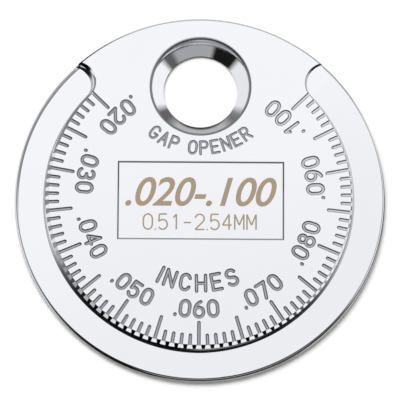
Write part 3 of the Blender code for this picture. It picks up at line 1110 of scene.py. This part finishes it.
class GAUGE_OT_engraving(bpy.types.Operator):
    """Engrave both scales, their numerals and the words"""

    bl_idname = "gauge.engraving"
    bl_label = "Engraving"

    def execute(self, context):
        """Cuts every mark, set by set, and gives the disc its plate."""
        s = sizes()
        marks = Engraving()
        engrave_scale(marks, FRONT_STEP, 5, False)
        engrave_scale(marks, BACK_STEP, 2, True)
        for hundredths in range(2, 11):
            text = f"{hundredths / 100:.3f}".lstrip("0")
            engrave_numeral(marks, text, hundredths * 0.01 * INCH, False)
        for tenths in range(6, 26, 2):
            engrave_numeral(marks, f"{tenths / 10:.1f}", tenths * 0.1 * MM, True)
        engrave_word(marks, *UNIT_WORD, s.numeral_height, s.graduation_width, s.graduation_depth)
        engrave_word(marks, *HOLE_WORDS, s.word_height, s.word_stroke, s.word_stroke / 2.5)
        body = bpy.data.objects["plated_disc"]
        for order in range(len(marks.sets)):
            cut(body, marks.cutter(order))
        cut(body, notch_cutter(FRONT_STEP, 1, False))
        cut(body, notch_cutter(BACK_STEP, 0, True))
        finish_piece(body, chrome_material())
        edit_mode()
        pick("FACE", lambda face: abs(face.normal.z) > FLAT or is_notch_floor(face))
        bpy.ops.mesh.faces_shade_flat()
        pick("EDGE", lambda edge: all(at_chamfer_foot(vertex.co) for vertex in edge.verts))
        bpy.ops.mesh.mark_sharp()
        object_mode()
        body.modifiers.new("weigh_flat_faces", "WEIGHTED_NORMAL").keep_sharp = True
        bpy.ops.object.modifier_apply(modifier="weigh_flat_faces")
        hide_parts("gauge_disc")
        return {"FINISHED"}


class GAUGE_OT_range_marks(bpy.types.Operator):
    """Lay the tan range marks in the recess"""

    bl_idname = "gauge.range_marks"
    bl_label = "Range marks"

    def execute(self, context):
        """Writes the range in inches, bold, and in millimetres, thin."""
        deselect_all()
        floor = THICKNESS - sizes().recess_depth
        bpy.ops.object.text_add()
        bold = bpy.context.object
        bold.name = "range_marks"
        bold.data.body = ".020-.100"
        bold.data.size = 4.2 * MM
        bold.data.shear = 0.28
        bold.data.offset = 0.05 * MM
        bold.data.extrude = MARK_STAND
        bold.data.space_character = 0.97
        bold.data.align_x = "CENTER"
        bold.location = (-0.2 * MM, -0.95 * MM, floor)
        bpy.ops.object.convert(target="MESH")
        bpy.ops.object.transform_apply(location=True)
        thin = thin_line("0.51-2.54MM", height=1.6 * MM, pitch=1.25 * MM, middle=-2.68 * MM, floor=floor)
        choose(thin, bold)
        bpy.ops.object.join()
        bold.data.name = "range_marks"
        finish_piece(bold, range_mark_material())
        return {"FINISHED"}


class GAUGE_OT_stage(bpy.types.Operator):
    """Set the pale floor, the soft light and the camera"""

    bl_idname = "gauge.stage"
    bl_label = "Stage"

    def execute(self, context):
        """Adds the floor, the lamp, the world and the camera."""
        deselect_all()
        bpy.ops.mesh.primitive_plane_add(size=3.0, location=(0.0, 0.0, 0.0))
        floor = bpy.context.object
        floor.name = "floor"
        floor.data.materials.append(floor_material())
        floor.visible_glossy = False
        studio_world()
        bpy.ops.object.light_add(type="AREA", location=LAMP_PLACE)
        lamp = bpy.context.object
        lamp.name = "soft_lamp"
        lamp.data.shape = "DISK"
        lamp.data.size = LAMP_SIZE
        lamp.data.energy = LAMP_POWER
        lamp.rotation_euler = (-Vector(LAMP_PLACE)).to_track_quat("-Z", "Y").to_euler()
        lamp.visible_glossy = False
        bpy.ops.object.camera_add()
        camera = bpy.context.object
        aim = Vector((0.0, 0.0, THICKNESS))
        away = Vector((0.0, -math.sin(CAMERA_TILT), math.cos(CAMERA_TILT))) * CAMERA_DISTANCE
        turn = Matrix.Rotation(CAMERA_TILT, 4, "X") @ Matrix.Rotation(CAMERA_ROLL, 4, "Z")
        camera.matrix_world = Matrix.Translation(aim + away) @ turn
        camera.data.sensor_width = 36.0
        camera.data.lens = 360.0
        camera.data.shift_x = (IMAGE_SIZE / 2 - DISC_IN_IMAGE[0]) / IMAGE_SIZE
        camera.data.shift_y = (DISC_IN_IMAGE[1] - IMAGE_SIZE / 2) / IMAGE_SIZE
        camera.data.clip_start = 0.01
        context.scene.camera = camera
        context.scene.view_settings.view_transform = "Standard"
        return {"FINISHED"}


class GAUGE_PT_panel(bpy.types.Panel):
    """The gauge's sizes, finishes and pieces."""

    bl_idname = "GAUGE_PT_panel"
    bl_label = "Spark plug gap gauge"
    bl_space_type = "VIEW_3D"
    bl_region_type = "UI"
    bl_category = "Gap gauge"

    def draw(self, context):
        """Lists the sizes, the finishes and a button for each piece."""
        for group in (context.scene.gauge_sizes, context.scene.gauge_finishes):
            box = self.layout.box()
            for name in group.bl_rna.properties.keys():
                if name not in ("rna_type", "name"):
                    box.prop(group, name)
        for operator in PIECES:
            self.layout.operator(operator.bl_idname)


PIECES = (GAUGE_OT_disc, GAUGE_OT_engraving, GAUGE_OT_range_marks, GAUGE_OT_stage)
CLASSES = (GaugeSizes, GaugeFinishes, *PIECES, GAUGE_PT_panel)


def register():
    """Adds the classes and the scene's two groups of settings."""
    for cls in CLASSES:
        bpy.utils.register_class(cls)
    bpy.types.Scene.gauge_sizes = bpy.props.PointerProperty(type=GaugeSizes)
    bpy.types.Scene.gauge_finishes = bpy.props.PointerProperty(type=GaugeFinishes)


def unregister():
    """Takes away what register added."""
    del bpy.types.Scene.gauge_finishes
    del bpy.types.Scene.gauge_sizes
    for cls in reversed(CLASSES):
        bpy.utils.unregister_class(cls)


def main():
    """Models every piece and the stage."""
    register()
    bpy.ops.gauge.disc()
    bpy.ops.gauge.engraving()
    bpy.ops.gauge.range_marks()
    bpy.ops.gauge.stage()


if __name__ == "__main__":
    main()
